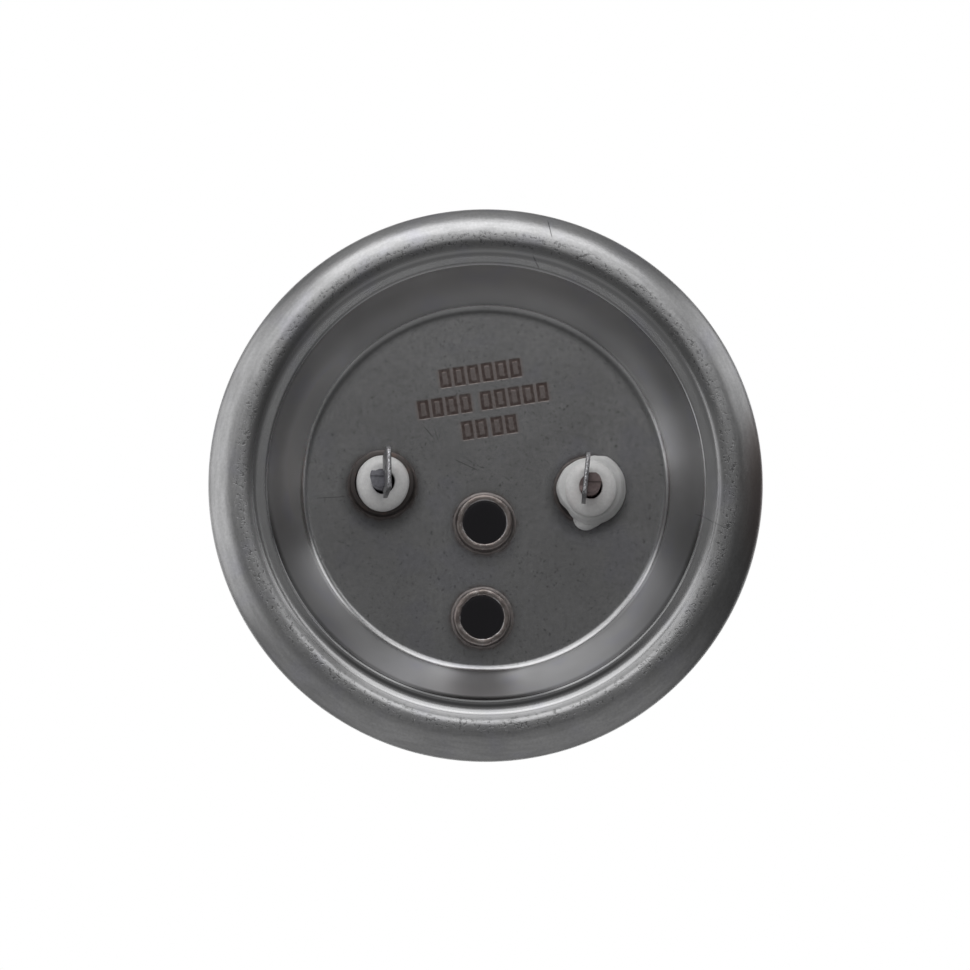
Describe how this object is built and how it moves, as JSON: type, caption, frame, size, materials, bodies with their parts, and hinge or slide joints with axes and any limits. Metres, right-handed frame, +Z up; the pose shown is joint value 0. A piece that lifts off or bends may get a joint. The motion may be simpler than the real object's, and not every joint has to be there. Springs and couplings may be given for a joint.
{
  "type": "water heater element",
  "caption": "Round pressed flange with a hairpin tubular heating element, push-on terminals on ceramic insulators and closed sleeves for thermostat bulbs.",
  "frame": {"origin": "centre of the flange on its axis, in the plane of the rim's foot", "axes": "+Z is up in the picture, +X to its right; the terminals face -Y and the element runs along +Y into the tank"},
  "size_m": [0.064, 0.2901, 0.064],
  "materials": {
    "flange_steel": "pressed stainless sheet, dull polished, with fine scratches",
    "sheath_steel": "drawn stainless tube, satin, slightly heat tinted",
    "sleeve_steel": "drawn stainless tube, satin, brown tinted at the brazed end",
    "braze_metal": "rough brown brazing metal",
    "terminal_steel": "bare steel, dull grey",
    "steatite": "fired white ceramic, slightly satin",
    "magnesia": "packed white insulating powder",
    "resistance_wire": "oxidised resistance wire",
    "sealant": "cured white silicone sealant, matte"
  },
  "bodies": {
    "root": {"flange": "flange_steel", "heater_sheath": "sheath_steel", "magnesia_fill": "magnesia", "resistance_coil": "resistance_wire", "terminal_pin_left": "terminal_steel", "terminal_pin_right": "terminal_steel", "terminal_tab_left": "terminal_steel", "terminal_tab_right": "terminal_steel", "insulator_left": "steatite", "insulator_right": "steatite", "seal_left": "sealant", "seal_right": "sealant", "sleeve_upper": "sleeve_steel", "sleeve_lower": "sleeve_steel", "sleeve_plug_upper": "sleeve_steel", "sleeve_plug_lower": "sleeve_steel", "braze_heater_left": "braze_metal", "braze_heater_right": "braze_metal", "braze_sleeve_upper": "braze_metal", "braze_sleeve_lower": "braze_metal", "anode_nut": "sheath_steel", "anode_nut_weld": "braze_metal"}
  },
  "joints": []
}
